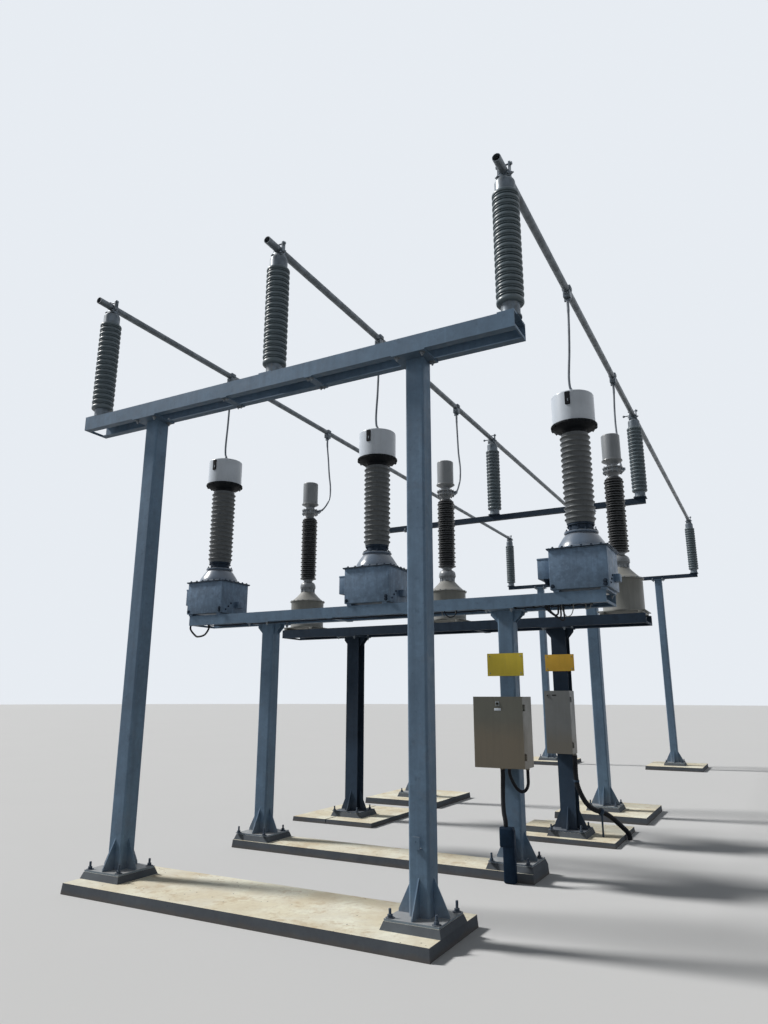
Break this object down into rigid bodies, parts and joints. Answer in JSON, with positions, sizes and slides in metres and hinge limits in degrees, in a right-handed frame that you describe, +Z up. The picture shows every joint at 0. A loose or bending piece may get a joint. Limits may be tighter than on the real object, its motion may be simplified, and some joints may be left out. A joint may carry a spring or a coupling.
{
  "type": "substation switchgear bay",
  "caption": "Outdoor substation bay: tube busbars on post insulators over portal frames, with rows of voltage transformers and hinged control boxes under them.",
  "frame": {"origin": "on the ground under the middle of the whole bay", "axes": "+X across the phases, to the side of the control boxes; +Y along the busbars, from the front support to the end support; +Z up"},
  "size_m": [5.83, 16.315, 6.4569],
  "materials": {
    "concrete": "cast concrete with a trowelled top, rust stains",
    "galvanised": "hot-dip galvanised, spangled and dulled",
    "weathered": "old dark grey galvanising",
    "casting": "galvanised iron casting, dulled",
    "grey_porcelain": "grey-green glazed porcelain",
    "charcoal_porcelain": "charcoal glazed porcelain",
    "brown_porcelain": "dark brown glazed porcelain",
    "tank_steel": "streaky galvanised plate",
    "head_paint": "white satin paint",
    "beige_paint": "beige paint, dulled",
    "cap_paint": "light grey paint",
    "tube_aluminium": "drawn aluminium tube, dulled",
    "wire_aluminium": "stranded aluminium wire",
    "box_beige": "beige powder coat",
    "box_grey": "grey powder coat",
    "sign_yellow": "yellow enamel plate, bare",
    "sign_orange": "orange-yellow enamel plate, bare",
    "sleeve_plastic": "dark navy plastic",
    "black_cable": "black sheath",
    "black_trim": "black gauge glass and skirts",
    "bolt_zinc": "zinc-coated bolts"
  },
  "bodies": {
    "root": {"plinth_a": "concrete", "plinth_b": "concrete", "pads_c": "concrete", "pads_d": "concrete", "pads_e": "concrete", "posts_a": "galvanised", "beam_a": "galvanised", "posts_b": "galvanised", "beam_b": "galvanised", "posts_d": "galvanised", "posts_e": "galvanised", "hose_stake": "galvanised", "posts_c": "weathered", "beam_c": "weathered", "beam_d": "weathered", "beam_e": "weathered", "insulators_a": "grey_porcelain", "insulator_castings_a": "casting", "insulators_d": "grey_porcelain", "insulator_castings_d": "casting", "insulators_e": "grey_porcelain", "insulator_castings_e": "casting", "vt_left_tank": "tank_steel", "vt_left_insulator": "charcoal_porcelain", "vt_left_head": "head_paint", "cvt_left_tank": "beige_paint", "cvt_left_insulator": "brown_porcelain", "cvt_left_cap": "cap_paint", "tube_left": "tube_aluminium", "droppers_left": "wire_aluminium", "vt_middle_tank": "tank_steel", "vt_middle_insulator": "charcoal_porcelain", "vt_middle_head": "head_paint", "cvt_middle_tank": "beige_paint", "cvt_middle_insulator": "brown_porcelain", "cvt_middle_cap": "cap_paint", "tube_middle": "tube_aluminium", "droppers_middle": "wire_aluminium", "vt_right_tank": "tank_steel", "vt_right_insulator": "charcoal_porcelain", "vt_right_head": "head_paint", "cvt_right_tank": "beige_paint", "cvt_right_insulator": "brown_porcelain", "cvt_right_cap": "cap_paint", "tube_right": "tube_aluminium", "droppers_right": "wire_aluminium", "cabinet_b": "box_beige", "cabinet_c": "box_grey", "sign_b": "sign_yellow", "sign_c": "sign_orange", "cable_sleeve": "sleeve_plastic", "cables_b": "black_cable", "hose_c": "black_cable"},
    "cabinet_b_door": {"cabinet_b_door": "box_beige"},
    "cabinet_c_door": {"cabinet_c_door": "box_grey"}
  },
  "joints": [
    {"name": "cabinet_b_door_hinge", "type": "hinge", "parent": "root", "child": "cabinet_b_door", "pos_m": [1.931, -5.8325, 1.415], "axis": [0, 0, 1], "range_deg": [0, 110]},
    {"name": "cabinet_c_door_hinge", "type": "hinge", "parent": "root", "child": "cabinet_c_door", "pos_m": [1.846, -3.588, 1.45], "axis": [0, 0, 1], "range_deg": [0, 110]}
  ]
}
